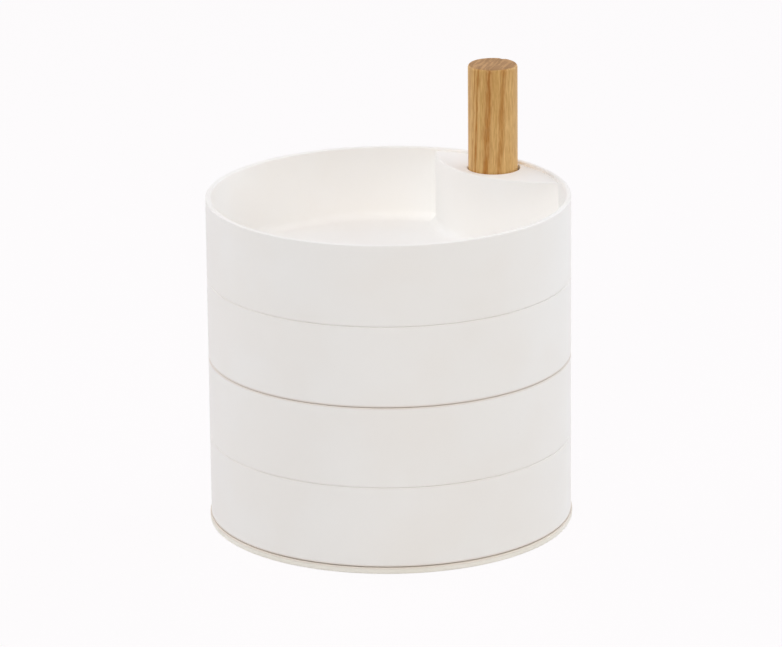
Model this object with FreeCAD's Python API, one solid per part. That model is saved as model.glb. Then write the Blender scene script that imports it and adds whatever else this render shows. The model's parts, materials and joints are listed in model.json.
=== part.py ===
import FreeCAD, Part
import math
import os

# Rotating jewelry organizer: four round trays that swing about one upright post.
# All sizes are millimetres. The origin is the centre of the base on the surface it stands on,
# +Z is up. The pieces are drawn with the post on the +X side, and then turned about the
# base's centre so that the post stands at its real bearing.

# Base plate and its feet
BASE_RADIUS = 51.0
BASE_THICKNESS = 1.8
BASE_LOWER_ROUND = 0.4
BASE_UPPER_ROUND = 0.3
FOOT_RADIUS = 4.0
FOOT_THICKNESS = 0.9
FOOT_PROUD = 0.15
FOOT_FIT = 0.1
FOOT_ROUND = 0.25
FOOT_EDGE_LAND = 3.0
FOOT_BEARINGS = (22.0, 140.0, 220.0, 338.0)

# Trays
TRAY_COUNT = 4
TRAY_INSET = 0.35
TRAY_HEIGHT = 22.76
TRAY_WALL = 1.5
TRAY_FLOOR = 1.5
TRAY_UPPER_ROUND = 0.3
TRAY_LOWER_ROUND = 0.2
RIM_INNER_ROUND = 0.5
FLOOR_ROUND = 2.5
CORNER_ROUND = 0.8
CORNER_OVERLAP = 0.03
# Open seam under each tray, from the lowest tray up
SEAM_GAPS = (0.20, 0.06, 0.16, 0.06)

# Platform round the post, and the curved partition in front of it
POST_BEARING = 44.0
PARTITION_RADIUS = 33.5
PLATFORM_WIDTH = 17.0
PLATFORM_RECESS = 0.75
PLATFORM_THICKNESS = 1.5
PLATFORM_EDGE_ROUND = 0.4
RIB_THICKNESS = 1.2
RIB_SETBACK = 0.5
RIB_BEARINGS = (75.0, 105.0, 255.0, 285.0)

# Hub of a tray: a socket on top, an open pocket below, a bearing sleeve between
SOCKET_CLEARANCE = 0.4
SOCKET_DEPTH = 4.0
SOCKET_RIM_LAND = 0.25
SOCKET_FLOOR = 1.6
SOCKET_CHAMFER = 0.15
HUB_WALL = 1.3
POCKET_DEPTH = 5.0
SLEEVE_WALL = 1.9

# Wooden handle and the threaded insert in its lower end
HANDLE_RADIUS = 7.0
HANDLE_RISE = 30.28
HANDLE_TOP_ROUND = 1.0
HANDLE_FOOT_CHAMFER = 0.4
INSERT_RADIUS = 3.5
INSERT_LENGTH = 10.0
INSERT_SETBACK = 0.5
INSERT_GROOVE_WIDTH = 1.2
INSERT_GROOVE_DEPTH = 0.5
INSERT_FIT = 0.03
HANDLE_BORE_SPARE = 2.0

# Pivot tube that the trays turn on, and the bushes that hold them apart
TUBE_RADIUS = 4.0
TUBE_WALL = 1.3
TUBE_CHAMFER = 0.2
TUBE_SEAT_DEPTH = 1.0
TUBE_SEAT_FIT = 0.05
BEARING_FIT = 0.06
BUSH_FIT = 0.25
BUSH_CHAMFER = 0.3
GLIDE_THICKNESS = 0.5

# Tie bolt with its washers
BOLT_RADIUS = 2.5
BOLT_REACH = 12.1
BOLT_TIP_CHAMFER = 0.5
BOLT_HEAD_RADIUS = 4.75
BOLT_HEAD_HEIGHT = 2.75
BOLT_HEAD_ROUND = 2.0
BOLT_HEAD_INSET = 0.2
BOLT_HOLE_FIT = 0.15
HEX_ACROSS_FLATS = 3.0
HEX_DEPTH = 1.6
BOLT_WASHER_RADIUS = 5.0
BOLT_WASHER_THICKNESS = 1.0
COUNTERBORE_FIT = 0.3
CLAMP_WASHER_THICKNESS = 1.0
CLAMP_WASHER_FIT = 0.75
WAVE_WASHER_THICKNESS = 0.3
WAVE_WASHER_HEIGHT = 0.76
WAVE_WASHER_WIDTH = 2.3
WAVE_WASHER_PLAY = 0.02
WAVE_COUNT = 3
WAVE_POINTS = 36

# How far a cutting shape runs past the face that it opens, and the largest difference
# between two heights or places that still count as the same
PAST = 1.0
SAME = 1e-6

# Places that follow from the sizes above
TRAY_RADIUS = BASE_RADIUS - TRAY_INSET
INNER_RADIUS = TRAY_RADIUS - TRAY_WALL
SOCKET_RADIUS = HANDLE_RADIUS + SOCKET_CLEARANCE
HUB_RADIUS = SOCKET_RADIUS + HUB_WALL
POST_X = INNER_RADIUS - SOCKET_RIM_LAND - SOCKET_RADIUS
PARTITION_X = INNER_RADIUS - PLATFORM_WIDTH + PARTITION_RADIUS
PLATFORM_LEVEL = TRAY_HEIGHT - PLATFORM_RECESS
SOCKET_LEVEL = PLATFORM_LEVEL - SOCKET_DEPTH
SLEEVE_BORE = TUBE_RADIUS + BEARING_FIT
SLEEVE_RADIUS = SLEEVE_BORE + SLEEVE_WALL
BUSH_RADIUS = SOCKET_RADIUS - BUSH_FIT
COUNTERBORE_RADIUS = BOLT_WASHER_RADIUS + COUNTERBORE_FIT
BOLT_HOLE_RADIUS = BOLT_RADIUS + BOLT_HOLE_FIT

BASE_BOTTOM = FOOT_PROUD
BASE_TOP = BASE_BOTTOM + BASE_THICKNESS
HEAD_BOTTOM = BASE_BOTTOM + BOLT_HEAD_INSET
HEAD_TOP = HEAD_BOTTOM + BOLT_HEAD_HEIGHT
COUNTERBORE_TOP = HEAD_TOP + BOLT_WASHER_THICKNESS


def tray_levels():
    """Return the height of each tray's underside, from the lowest tray up."""
    levels = []
    level = BASE_TOP
    for gap in SEAM_GAPS[:TRAY_COUNT]:
        levels.append(level + gap)
        level += gap + TRAY_HEIGHT
    return levels


TRAY_LEVELS = tray_levels()
BOSS_TOP = TRAY_LEVELS[0] + POCKET_DEPTH - GLIDE_THICKNESS
TUBE_BOTTOM = BOSS_TOP - TUBE_SEAT_DEPTH
TOP_SOCKET_LEVEL = TRAY_LEVELS[-1] + SOCKET_LEVEL
WAVE_LEVEL = TOP_SOCKET_LEVEL + GLIDE_THICKNESS + WAVE_WASHER_PLAY
TUBE_TOP = WAVE_LEVEL + WAVE_WASHER_HEIGHT + WAVE_WASHER_PLAY
HANDLE_BOTTOM = TUBE_TOP + CLAMP_WASHER_THICKNESS
HANDLE_TOP = TRAY_LEVELS[-1] + PLATFORM_LEVEL + HANDLE_RISE


def vector(x, y, z):
    """Return a point or a direction."""
    return FreeCAD.Vector(x, y, z)


def disc(radius, bottom, top, x=0.0, y=0.0):
    """Return an upright cylinder between two heights."""
    return Part.makeCylinder(radius, top - bottom, vector(x, y, bottom))


def ring(outer, inner, bottom, top, x=0.0):
    """Return an upright ring between two heights."""
    return disc(outer, bottom, top, x).cut(disc(inner, bottom - PAST, top + PAST, x))


def edges_at(shape, level):
    """Return the flat edges of a shape at one height."""
    found = []
    for edge in shape.Edges:
        box = edge.BoundBox
        if max(abs(box.ZMin - level), abs(box.ZMax - level)) < SAME:
            found.append(edge)
    return found


def meeting_point(reach_from_centre, reach_from_partition):
    """Return the point that lies so far from the tray's centre and so far from the partition's."""
    x = (reach_from_centre ** 2 - reach_from_partition ** 2 + PARTITION_X ** 2) / (2 * PARTITION_X)
    return vector(x, math.sqrt(reach_from_centre ** 2 - x ** 2), 0)


def corner_fillers(bottom, top):
    """Return the two upright pieces that round the corners between wall and partition."""
    corner = meeting_point(INNER_RADIUS, PARTITION_RADIUS)
    centre = meeting_point(INNER_RADIUS - CORNER_ROUND, PARTITION_RADIUS + CORNER_ROUND)
    to_partition = vector(PARTITION_X, 0, 0) - centre
    in_wall = centre * ((INNER_RADIUS + PAST) / centre.Length)
    in_partition = centre + to_partition * ((CORNER_ROUND + PAST) / to_partition.Length)
    beyond = corner + (corner - centre) * PAST
    fillers = []
    for side in (1, -1):
        outline = []
        for point in (centre, in_wall, beyond, in_partition, centre):
            outline.append(vector(point.x, side * point.y, bottom))
        block = Part.Face(Part.makePolygon(outline)).extrude(vector(0, 0, top - bottom))
        hollow = disc(CORNER_ROUND + CORNER_OVERLAP, bottom - PAST, top + PAST,
                      centre.x, side * centre.y)
        fillers.append(block.cut(hollow))
    return fillers


def storage_space():
    """Return the space that a tray holds things in, in front of the curved partition."""
    top = PLATFORM_LEVEL + PLATFORM_RECESS / 4
    round_space = disc(INNER_RADIUS, TRAY_FLOOR, top)
    partition = disc(PARTITION_RADIUS, TRAY_FLOOR - PAST, top + PAST, PARTITION_X)
    space = round_space.cut(partition)
    space = space.makeFillet(FLOOR_ROUND, edges_at(space, TRAY_FLOOR))
    for filler in corner_fillers(TRAY_FLOOR - PAST, top + PAST):
        space = space.cut(filler)
    return space


def rim_space():
    """Return the shallow round space inside the rim, with the rim's rounded inner edge."""
    start = vector(INNER_RADIUS, 0, TRAY_HEIGHT - RIM_INNER_ROUND)
    end = vector(INNER_RADIUS + RIM_INNER_ROUND, 0, TRAY_HEIGHT)
    lean = RIM_INNER_ROUND * (1 - math.sqrt(0.5))
    middle = vector(INNER_RADIUS + lean, 0, TRAY_HEIGHT - lean)
    corners = [
        end,
        vector(end.x, 0, TRAY_HEIGHT + PAST),
        vector(0, 0, TRAY_HEIGHT + PAST),
        vector(0, 0, PLATFORM_LEVEL),
        vector(INNER_RADIUS, 0, PLATFORM_LEVEL),
        start,
    ]
    edges = [Part.Arc(start, middle, end).toShape()]
    for a, b in zip(corners, corners[1:]):
        edges.append(Part.makeLine(a, b))
    profile = Part.Face(Part.Wire(edges))
    return profile.revolve(vector(0, 0, 0), vector(0, 0, 1), 360)


def platform_edge_trim():
    """Return what is taken off the platform's front edge to round it."""
    low = PLATFORM_LEVEL - PLATFORM_EDGE_ROUND
    high = PLATFORM_LEVEL + PLATFORM_RECESS / 4
    rounded = disc(PARTITION_RADIUS, TRAY_FLOOR, PLATFORM_LEVEL, PARTITION_X)
    rounded = rounded.makeFillet(PLATFORM_EDGE_ROUND, edges_at(rounded, PLATFORM_LEVEL))
    around = disc(PARTITION_RADIUS + PAST, low, high, PARTITION_X)
    return around.cut(rounded).common(disc(INNER_RADIUS, low, high))


def underside_hollow():
    """Return the hollow under the platform, round the hub and its ribs."""
    top = PLATFORM_LEVEL - PLATFORM_THICKNESS
    lens = disc(PARTITION_RADIUS - TRAY_WALL, -PAST, top, PARTITION_X)
    lens = lens.common(disc(INNER_RADIUS, -PAST, top))
    hollow = lens.cut(disc(HUB_RADIUS, -PAST, top + PAST, POST_X))
    for bearing in RIB_BEARINGS:
        rib = Part.makeBox(INNER_RADIUS, RIB_THICKNESS, top + PAST,
                           vector(POST_X, -RIB_THICKNESS / 2, RIB_SETBACK))
        rib.rotate(vector(POST_X, 0, 0), vector(0, 0, 1), bearing)
        hollow = hollow.cut(rib)
    return hollow


def hub_openings():
    """Return the cutting shapes of a hub: top socket, lower pocket and bearing bore."""
    socket = disc(SOCKET_RADIUS, SOCKET_LEVEL, TRAY_HEIGHT, POST_X)
    mouth = Part.makeCone(SOCKET_RADIUS, SOCKET_RADIUS + SOCKET_CHAMFER, SOCKET_CHAMFER,
                          vector(POST_X, 0, PLATFORM_LEVEL - SOCKET_CHAMFER))
    pocket_top = SOCKET_LEVEL - SOCKET_FLOOR
    pocket = disc(SOCKET_RADIUS, -PAST, pocket_top, POST_X)
    pocket = pocket.cut(disc(SLEEVE_RADIUS, POCKET_DEPTH, TRAY_HEIGHT, POST_X))
    bore = disc(SLEEVE_BORE, -PAST, TRAY_HEIGHT, POST_X)
    return [socket, mouth, pocket, bore]


def tray():
    """Return one tray with its underside at height zero."""
    body = disc(TRAY_RADIUS, 0, TRAY_HEIGHT)
    body = body.makeFillet(TRAY_UPPER_ROUND, edges_at(body, TRAY_HEIGHT))
    body = body.makeFillet(TRAY_LOWER_ROUND, edges_at(body, 0))
    for cutter in [storage_space(), rim_space(), platform_edge_trim(), underside_hollow()]:
        body = body.cut(cutter)
    for cutter in hub_openings():
        body = body.cut(cutter)
    return body.removeSplitter()


def foot_places():
    """Return the centres of the foot pads under the base."""
    reach = BASE_RADIUS - FOOT_EDGE_LAND - FOOT_RADIUS
    places = []
    for bearing in FOOT_BEARINGS:
        angle = math.radians(bearing)
        places.append((reach * math.cos(angle), reach * math.sin(angle)))
    return places


def base_plate():
    """Return the base plate with the boss that carries the post."""
    plate = disc(BASE_RADIUS, BASE_BOTTOM, BASE_TOP)
    plate = plate.makeFillet(BASE_LOWER_ROUND, edges_at(plate, BASE_BOTTOM))
    plate = plate.makeFillet(BASE_UPPER_ROUND, edges_at(plate, BASE_TOP))
    boss = disc(BUSH_RADIUS, BASE_BOTTOM + BASE_THICKNESS / 2, BOSS_TOP, POST_X)
    boss = boss.makeChamfer(BUSH_CHAMFER, edges_at(boss, BOSS_TOP))
    plate = plate.fuse(boss)
    plate = plate.cut(disc(COUNTERBORE_RADIUS, BASE_BOTTOM - PAST, COUNTERBORE_TOP, POST_X))
    plate = plate.cut(disc(BOLT_HOLE_RADIUS, BASE_BOTTOM, BOSS_TOP + PAST, POST_X))
    plate = plate.cut(disc(TUBE_RADIUS + TUBE_SEAT_FIT, TUBE_BOTTOM, BOSS_TOP + PAST, POST_X))
    for x, y in foot_places():
        plate = plate.cut(disc(FOOT_RADIUS + FOOT_FIT, BASE_BOTTOM - PAST, FOOT_THICKNESS, x, y))
    return plate


def foot_pad(x, y):
    """Return one soft pad, let into the base and a little proud of it."""
    pad = disc(FOOT_RADIUS, 0, FOOT_THICKNESS, x, y)
    return pad.makeFillet(FOOT_ROUND, edges_at(pad, 0))


def pivot_tube():
    """Return the steel tube that the trays turn on."""
    tube = disc(TUBE_RADIUS, TUBE_BOTTOM, TUBE_TOP, POST_X)
    ends = edges_at(tube, TUBE_BOTTOM) + edges_at(tube, TUBE_TOP)
    tube = tube.makeChamfer(TUBE_CHAMFER, ends)
    return tube.cut(disc(TUBE_RADIUS - TUBE_WALL, TUBE_BOTTOM - PAST, TUBE_TOP + PAST, POST_X))


def glide_washer(bottom):
    """Return one thin low-friction washer, standing at the given height."""
    return ring(BUSH_RADIUS, SLEEVE_BORE, bottom, bottom + GLIDE_THICKNESS, POST_X)


def spacer_bush(lower, upper):
    """Return the bush that carries the upper tray's hub on the socket of the lower one."""
    bottom = lower + SOCKET_LEVEL
    top = upper + POCKET_DEPTH - GLIDE_THICKNESS
    bush = disc(BUSH_RADIUS, bottom, top, POST_X)
    bush = bush.makeChamfer(BUSH_CHAMFER, edges_at(bush, bottom) + edges_at(bush, top))
    return bush.cut(disc(SLEEVE_BORE, bottom - PAST, top + PAST, POST_X))


def pivot_bolt():
    """Return the button-head bolt that ties the base and the handle together."""
    tip = HANDLE_BOTTOM + BOLT_REACH
    head = disc(BOLT_HEAD_RADIUS, HEAD_BOTTOM, HEAD_TOP, POST_X)
    head = head.makeFillet(BOLT_HEAD_ROUND, edges_at(head, HEAD_BOTTOM))
    corner = HEX_ACROSS_FLATS / math.sqrt(3)
    corners = []
    for step in range(7):
        angle = math.radians(60 * step)
        x = POST_X + corner * math.cos(angle)
        corners.append(vector(x, corner * math.sin(angle), HEAD_BOTTOM - PAST))
    recess = Part.Face(Part.makePolygon(corners)).extrude(vector(0, 0, HEX_DEPTH + PAST))
    shank = disc(BOLT_RADIUS, HEAD_TOP - PAST / 2, tip, POST_X)
    shank = shank.makeChamfer(BOLT_TIP_CHAMFER, edges_at(shank, tip))
    return head.fuse(shank).cut(recess)


def bolt_washer():
    """Return the flat washer between the bolt's head and the base."""
    return ring(BOLT_WASHER_RADIUS, BOLT_HOLE_RADIUS, HEAD_TOP, COUNTERBORE_TOP, POST_X)


def clamp_washer():
    """Return the steel washer that the handle is drawn down on, on the end of the tube."""
    outer = SOCKET_RADIUS - CLAMP_WASHER_FIT
    return ring(outer, BOLT_HOLE_RADIUS, TUBE_TOP, HANDLE_BOTTOM, POST_X)


def wave_edge(radius):
    """Return one closed wavy edge of the spring washer."""
    swing = (WAVE_WASHER_HEIGHT - WAVE_WASHER_THICKNESS) / 2
    points = []
    for step in range(WAVE_POINTS):
        angle = 2 * math.pi * step / WAVE_POINTS
        x = POST_X + radius * math.cos(angle)
        z = WAVE_LEVEL + swing * (1 + math.cos(WAVE_COUNT * angle))
        points.append(vector(x, radius * math.sin(angle), z))
    curve = Part.BSplineCurve()
    curve.interpolate(points, PeriodicFlag=True)
    return curve.toShape()


def wave_washer():
    """Return the wavy spring washer that keeps the stack of trays lightly pressed."""
    inner = SLEEVE_BORE + TUBE_SEAT_FIT
    surface = Part.makeRuledSurface(wave_edge(inner), wave_edge(inner + WAVE_WASHER_WIDTH))
    return surface.extrude(vector(0, 0, WAVE_WASHER_THICKNESS))


def handle_insert():
    """Return the brass threaded insert, its thread drawn as a plain bore."""
    bottom = HANDLE_BOTTOM + INSERT_SETBACK
    top = bottom + INSERT_LENGTH
    middle = (bottom + top) / 2
    insert = ring(INSERT_RADIUS, BOLT_RADIUS + INSERT_FIT, bottom, top, POST_X)
    groove = ring(INSERT_RADIUS + PAST, INSERT_RADIUS - INSERT_GROOVE_DEPTH,
                  middle - INSERT_GROOVE_WIDTH / 2, middle + INSERT_GROOVE_WIDTH / 2, POST_X)
    return insert.cut(groove)


def handle():
    """Return the wooden handle with its blind bore."""
    post = disc(HANDLE_RADIUS, HANDLE_BOTTOM, HANDLE_TOP, POST_X)
    post = post.makeFillet(HANDLE_TOP_ROUND, edges_at(post, HANDLE_TOP))
    post = post.makeChamfer(HANDLE_FOOT_CHAMFER, edges_at(post, HANDLE_BOTTOM))
    bore_top = HANDLE_BOTTOM + BOLT_REACH + HANDLE_BORE_SPARE
    return post.cut(disc(INSERT_RADIUS + INSERT_FIT, HANDLE_BOTTOM - PAST, bore_top, POST_X))


def all_pieces():
    """Return every piece by its node name, before the turn to the post's bearing."""
    pieces = {
        "base_plate": base_plate(),
        "pivot_bolt": pivot_bolt(),
        "bolt_washer": bolt_washer(),
        "pivot_tube": pivot_tube(),
        "wave_washer": wave_washer(),
        "clamp_washer": clamp_washer(),
        "handle_insert": handle_insert(),
        "handle": handle(),
        "glide_washer_top": glide_washer(TOP_SOCKET_LEVEL),
    }
    for number, (x, y) in enumerate(foot_places(), start=1):
        pieces[f"foot_pad_{number}"] = foot_pad(x, y)
    one_tray = tray()
    for index, level in enumerate(TRAY_LEVELS):
        number = TRAY_COUNT - index
        placed = one_tray.copy()
        placed.translate(vector(0, 0, level))
        pieces[f"tray_{number}"] = placed
        pieces[f"glide_washer_{number}"] = glide_washer(level + POCKET_DEPTH - GLIDE_THICKNESS)
        if index > 0:
            pieces[f"spacer_bush_{number}"] = spacer_bush(TRAY_LEVELS[index - 1], level)
    return pieces


os.makedirs("parts", exist_ok=True)
for name, shape in sorted(all_pieces().items()):
    shape.rotate(vector(0, 0, 0), vector(0, 0, 1), POST_BEARING)
    shape.exportStep(f"parts/{name}.step")
    print(name, "valid" if shape.isValid() else "NOT VALID", len(shape.Solids), "solid",
          round(shape.Volume, 1), "mm3")
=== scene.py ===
"""Finishes, fine detail and studio for an organizer whose round trays swing about one post.

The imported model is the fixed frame. A size is in millimetres unless its name ends in _m, and
the meshes are turned to metres as they are finished. The post stands where the joints turn.
"""

import json
import logging
import math
from collections.abc import Callable, Mapping, Sequence
from dataclasses import dataclass, field
from enum import Enum
from typing import Any

import bmesh
import bpy
from bpy.types import GeometryNodeTree, Light, Material, Mesh, Node, NodeSocket, NodeTree, Object
from mathutils import Matrix, Vector


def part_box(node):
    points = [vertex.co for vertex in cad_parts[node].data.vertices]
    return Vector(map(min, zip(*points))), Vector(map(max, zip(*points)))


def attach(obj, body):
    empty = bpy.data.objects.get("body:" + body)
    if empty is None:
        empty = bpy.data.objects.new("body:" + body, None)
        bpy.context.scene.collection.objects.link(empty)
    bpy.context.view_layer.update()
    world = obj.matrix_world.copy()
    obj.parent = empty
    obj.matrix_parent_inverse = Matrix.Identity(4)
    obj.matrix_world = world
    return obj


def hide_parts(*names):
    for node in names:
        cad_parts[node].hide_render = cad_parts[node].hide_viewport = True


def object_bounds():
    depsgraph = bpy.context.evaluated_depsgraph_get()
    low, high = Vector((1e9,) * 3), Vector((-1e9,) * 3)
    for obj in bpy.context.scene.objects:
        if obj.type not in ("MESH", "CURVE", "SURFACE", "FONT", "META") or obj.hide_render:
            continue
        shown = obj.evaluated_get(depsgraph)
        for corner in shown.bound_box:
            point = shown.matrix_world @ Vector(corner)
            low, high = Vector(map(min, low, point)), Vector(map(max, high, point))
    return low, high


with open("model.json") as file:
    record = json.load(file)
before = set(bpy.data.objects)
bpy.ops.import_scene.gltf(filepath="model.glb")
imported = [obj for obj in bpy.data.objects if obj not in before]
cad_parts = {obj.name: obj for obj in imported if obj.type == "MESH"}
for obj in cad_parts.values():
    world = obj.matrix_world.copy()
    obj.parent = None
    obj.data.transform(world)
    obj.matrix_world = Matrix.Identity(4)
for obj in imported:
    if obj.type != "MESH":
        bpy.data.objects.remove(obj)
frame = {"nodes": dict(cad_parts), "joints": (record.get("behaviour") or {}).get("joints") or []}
CAD_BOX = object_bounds()

LOG = logging.getLogger("organizer")
MM = 0.001
PHOTO_WIDTH = 782
# The inputs of a colour Mix node, which share their names with its other kinds of input
SHARE, UNDER, OVER = 0, 6, 7


def linear(shade: str) -> tuple[float, float, float, float]:
    """Turn an sRGB hex value into a linear colour.

    Args:
        shade: Six hex digits, such as "C09864".

    Returns:
        Red, green, blue and alpha, each from 0 to 1.
    """
    channels = []
    for start in (0, 2, 4):
        value = int(shade[start:start + 2], 16) / 255
        low = value / 12.92
        high = ((value + 0.055) / 1.055) ** 2.4
        channels.append(low if value <= 0.04045 else high)
    return (channels[0], channels[1], channels[2], 1.0)


def add_node(tree: NodeTree, kind: str, inputs: Mapping[Any, Any] | Sequence[Any] = (),
             **settings: Any) -> Node:
    """Add a node with its settings, and fill its inputs with values or links.

    Args:
        tree: The tree that the node goes into.
        kind: The node's type name.
        inputs: What goes into each named or numbered input, or into the first ones in turn: a
            value, an output, or a node, which stands for its first output in use.
        **settings: Properties of the node itself.

    Returns:
        The new node.
    """
    node = tree.nodes.new(kind)
    for name, value in settings.items():
        setattr(node, name, value)
    for key, value in inputs.items() if isinstance(inputs, Mapping) else enumerate(inputs):
        if isinstance(value, Node):
            value = next(output for output in value.outputs if output.enabled)
        if isinstance(value, NodeSocket):
            tree.links.new(value, node.inputs[key])
        else:
            node.inputs[key].default_value = value
    return node


def even(width: float) -> tuple[float, float, float]:
    """Return one width for all three axes."""
    return (width, width, width)


@dataclass(frozen=True)
class Noise:
    """Soft noise from 0 to 1, and the values at which a patch of it starts and is full."""

    # How far a patch reaches along X, Y and Z
    size: tuple[float, float, float]
    start: float = 0.0
    full: float = 1.0
    detail: float = 2.0
    roughness: float = 0.5


class Blend(Enum):
    """How a layer of colour goes over what lies below it."""

    COVER = "MIX"
    STAIN = "MULTIPLY"


@dataclass(frozen=True)
class Layer:
    """A shade that goes over the colour below it, as far as its mask says."""

    mask: Node
    shade: str
    blend: Blend = Blend.COVER


class FinishTree:
    """The node tree of one material, with coordinates in millimetres."""

    def __init__(self, name: str) -> None:
        """Start a material.

        Args:
            name: The material's name.
        """
        self.material = bpy.data.materials.new(name)
        self.material.use_nodes = True
        self.tree = self.material.node_tree
        self.tree.nodes.clear()
        where = add_node(self.tree, "ShaderNodeTexCoord")
        # Which way the surface faces, in the piece's own axes
        self.facing = where.outputs["Normal"]
        self.place = add_node(self.tree, "ShaderNodeVectorMath",
                              {0: where.outputs["Object"], "Scale": 1 / MM}, operation="SCALE")

    def turned(self, centre: Vector, degrees: float, size: Sequence[float] = (1, 1, 1)) -> Node:
        """Return coordinates about a centre, turned about the vertical.

        Args:
            centre: The new zero point, in millimetres.
            degrees: The bearing of the new X axis.
            size: How many millimetres one unit spans along X, Y and Z.

        Returns:
            The node with the coordinates.
        """
        return add_node(self.tree, "ShaderNodeMapping", {
            "Vector": self.place,
            "Location": centre,
            "Rotation": (0.0, 0.0, math.radians(degrees)),
            "Scale": size,
        }, vector_type="TEXTURE")

    def pattern(self, noise: Noise, centre: Vector = Vector(), degrees: float = 0.0) -> Node:
        """Lay noise over the piece.

        Args:
            noise: The noise.
            centre: The pattern's zero point, in millimetres.
            degrees: The bearing of the pattern's X axis.

        Returns:
            The node with the noise.
        """
        return add_node(self.tree, "ShaderNodeTexNoise", {
            "Vector": self.turned(centre, degrees, noise.size),
            "Scale": 1.0,
            "Detail": noise.detail,
            "Roughness": noise.roughness,
        })

    def patches(self, noise: Noise, centre: Vector = Vector(), degrees: float = 0.0,
                low: float = 0.0, high: float = 1.0) -> Node:
        """Return a mask of soft patches.

        Args:
            noise: The noise that they are cut from.
            centre: The pattern's zero point, in millimetres.
            degrees: The bearing of the pattern's X axis.
            low: The mask between the patches.
            high: The mask inside a patch.

        Returns:
            The node with the mask.
        """
        values = (self.pattern(noise, centre, degrees), noise.start, noise.full, low, high)
        return add_node(self.tree, "ShaderNodeMapRange", values, interpolation_type="SMOOTHSTEP")

    def relief(self, height: Node, depth: float, below: Node | None = None) -> Node:
        """Return the normals of a fine relief.

        Args:
            height: The relief's height, from 0 to 1.
            depth: The relief's depth in millimetres.
            below: The normals of a coarser relief that this one lies on.

        Returns:
            The node with the normals.
        """
        inputs = {"Height": height, "Distance": depth * MM, "Strength": 1.0}
        if below is not None:
            inputs["Normal"] = below
        return add_node(self.tree, "ShaderNodeBump", inputs)

    def layered(self, shade: str, *layers: Layer) -> Node:
        """Lay shades over a ground, one after another.

        Args:
            shade: The ground's hex value.
            *layers: The layers, from the lowest up; at least one.

        Returns:
            The node with the colour.
        """
        colour: Any = linear(shade)
        for layer in layers:
            colour = add_node(self.tree, "ShaderNodeMix",
                              {SHARE: layer.mask, UNDER: colour, OVER: linear(layer.shade)},
                              data_type="RGBA", blend_type=layer.blend.value)
        return colour

    def surface(self, inputs: Mapping[str, Any]) -> Material:
        """Close the material with a Principled shader that has these inputs, and return it."""
        shader = add_node(self.tree, "ShaderNodeBsdfPrincipled", inputs)
        add_node(self.tree, "ShaderNodeOutputMaterial", {"Surface": shader})
        return self.material


@dataclass(frozen=True)
class Seam:
    """The open seam between two mouldings of the stack, all the way round."""

    height: float
    gap: float
    radius: float
    # From this wide up, the painted shade beside a seam is at its full strength
    wide: float = 0.16

    def strength(self) -> float:
        """Return how strongly the painted shade beside the seam shows, from 0 to 1."""
        return min(1.0, self.gap / self.wide) ** 2


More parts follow.
